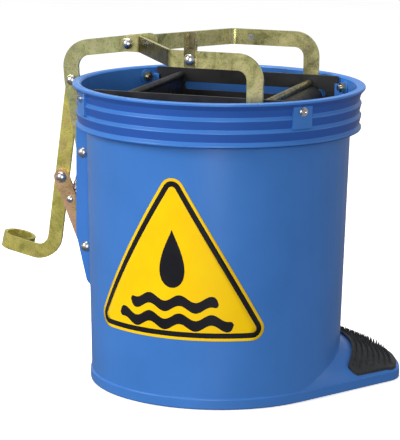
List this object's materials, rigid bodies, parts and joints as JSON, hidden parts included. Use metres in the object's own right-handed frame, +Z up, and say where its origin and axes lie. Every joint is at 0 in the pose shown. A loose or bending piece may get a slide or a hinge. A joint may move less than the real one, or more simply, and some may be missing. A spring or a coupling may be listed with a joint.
{
  "type": "foot-operated mop bucket with wringer",
  "caption": "Round mop bucket with a foot-worked squeeze wringer: pedal linkage, yoke and sliding jaw on a steel frame in the mouth, and a foot platform on the base.",
  "frame": {"origin": "on the bucket's axis, at the floor", "axes": "+Z up, +X away from the lever, across the bucket and along the wringer's side plates, +Y across the wringer"},
  "size_m": [0.4553, 0.3277, 0.392],
  "materials": {
    "bucket_plastic": "blue moulded polypropylene",
    "tread_rubber": "dark grey moulded rubber",
    "sticker_vinyl": "yellow and black printed vinyl",
    "black_steel": "black paint on steel strip and sheet",
    "plated_steel": "yellow zinc plating",
    "bright_steel": "bright zinc plating",
    "gold_zinc": "yellow passivated zinc plating on steel strip"
  },
  "bodies": {
    "frame": {"bucket": "bucket_plastic", "foot_pad": "tread_rubber", "floor_sign_sticker": "sticker_vinyl", "front_side_plate": "black_steel", "back_side_plate": "black_steel", "fixed_press_plate": "black_steel", "drain_floor": "black_steel", "frame_bolts": "plated_steel", "frame_washers": "plated_steel", "frame_nuts": "plated_steel", "upper_pivot_bolt": "bright_steel", "lower_pivot_bolt": "bright_steel", "pivot_nuts": "plated_steel", "pivot_washers": "plated_steel", "pivot_spacers": "plated_steel"},
    "crank": {"crank_bar": "gold_zinc", "crank_rivet": "bright_steel", "yoke_rivet": "bright_steel"},
    "pedal": {"pedal_bar": "gold_zinc", "link_rivet": "bright_steel"},
    "link": {"link_bar": "gold_zinc", "link_stud": "bright_steel"},
    "yoke": {"front_arm": "gold_zinc", "back_arm": "gold_zinc", "arm_rivets": "bright_steel", "handle_clip": "gold_zinc"},
    "jaw": {"jaw_plate": "black_steel", "jaw_top_roll": "bright_steel", "jaw_gussets": "black_steel", "guide_pins": "bright_steel", "guide_bushes": "plated_steel", "guide_clips": "plated_steel"},
    "spring": {"spring_coil": "bright_steel"},
    "hook": {"spring_hook": "bright_steel"}
  },
  "joints": [
    {"name": "crank_hinge", "type": "hinge", "parent": "frame", "child": "crank", "pos_m": [-0.154, 0, 0.2407], "axis": [0, -1, 0], "range_deg": [0, 45], "stiffness_Nm_per_rad": 3, "springref_deg": -22.92},
    {"name": "pedal_hinge", "type": "hinge", "parent": "crank", "child": "pedal", "pos_m": [-0.169, 0, 0.32], "axis": [0, -1, 0], "range_deg": [-38, 0]},
    {"name": "link_hinge", "type": "hinge", "parent": "pedal", "child": "link", "pos_m": [-0.1815, 0, 0.2105], "axis": [0, -1, 0], "range_deg": [0, 29.5]},
    {"name": "yoke_hinge", "type": "hinge", "parent": "crank", "child": "yoke", "pos_m": [-0.102, 0, 0.364], "axis": [0, -1, 0], "range_deg": [-45, 0]},
    {"name": "jaw_slide", "type": "slide", "parent": "frame", "child": "jaw", "axis": [-1, 0, 0], "range_m": [0, 0.1026]},
    {"name": "spring_hinge", "type": "hinge", "parent": "frame", "child": "spring", "pos_m": [-0.154, 0, 0.2407], "axis": [0, -1, 0], "range_deg": [-11.2, 0]},
    {"name": "spring_stretch", "type": "slide", "parent": "spring", "child": "hook", "axis": [-0.3026, 0, -0.9531], "range_m": [0, 0.0322]}
  ],
  "couplings": [
    {"joint": "pedal_hinge", "follows": "crank_hinge", "ratio": -0.8413},
    {"joint": "link_hinge", "follows": "crank_hinge", "ratio": 0.6485},
    {"joint": "yoke_hinge", "follows": "crank_hinge", "ratio": -1},
    {"joint": "jaw_slide", "follows": "crank_hinge", "m_per_rad": 0.1304},
    {"joint": "spring_hinge", "follows": "crank_hinge", "ratio": -0.24644},
    {"joint": "spring_stretch", "follows": "crank_hinge", "m_per_rad": 0.04082}
  ]
}
